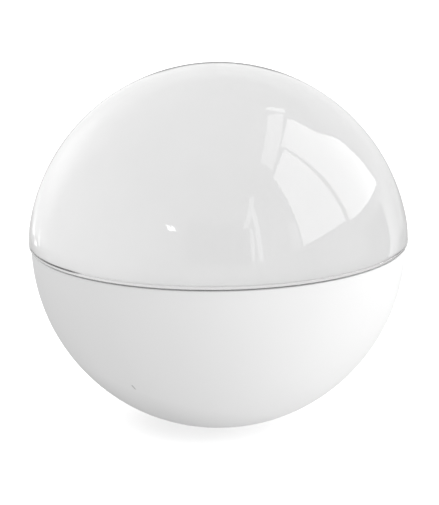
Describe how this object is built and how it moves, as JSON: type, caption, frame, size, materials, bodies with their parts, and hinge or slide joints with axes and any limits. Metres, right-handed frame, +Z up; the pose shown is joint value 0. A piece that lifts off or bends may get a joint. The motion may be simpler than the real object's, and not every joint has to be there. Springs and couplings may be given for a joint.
{
  "type": "ball-shaped lidded case",
  "caption": "Small ball-shaped case: a matte double-walled base on a flat foot, and a glossy milky dome lid with a rounded lip that lifts straight off a round neck.",
  "frame": {"origin": "centre of the foot's flat lower face, where the case stands", "axes": "+Z up along the ball's axis, from the foot through the top of the dome; X and Y are level and equal, because every piece is turned about Z"},
  "size_m": [0.0572, 0.0572, 0.0546],
  "materials": {
    "base_shell": "matte white, finely textured",
    "foot_pad": "matte light grey",
    "ballast_disc": "turned steel",
    "inner_cup": "smooth white",
    "seal_ring": "soft silicone",
    "lid_dome": "glossy milky",
    "lid_sleeve": "satin white"
  },
  "bodies": {
    "base": {"base_shell": "base_shell", "foot_pad": "foot_pad", "ballast_disc": "ballast_disc", "inner_cup": "inner_cup", "seal_ring": "seal_ring"},
    "lid": {"lid_dome": "lid_dome", "lid_sleeve": "lid_sleeve"}
  },
  "joints": [
    {"name": "lid_lift", "type": "slide", "parent": "base", "child": "lid", "axis": [0, 0, 1], "range_m": [0, 0.04]}
  ]
}
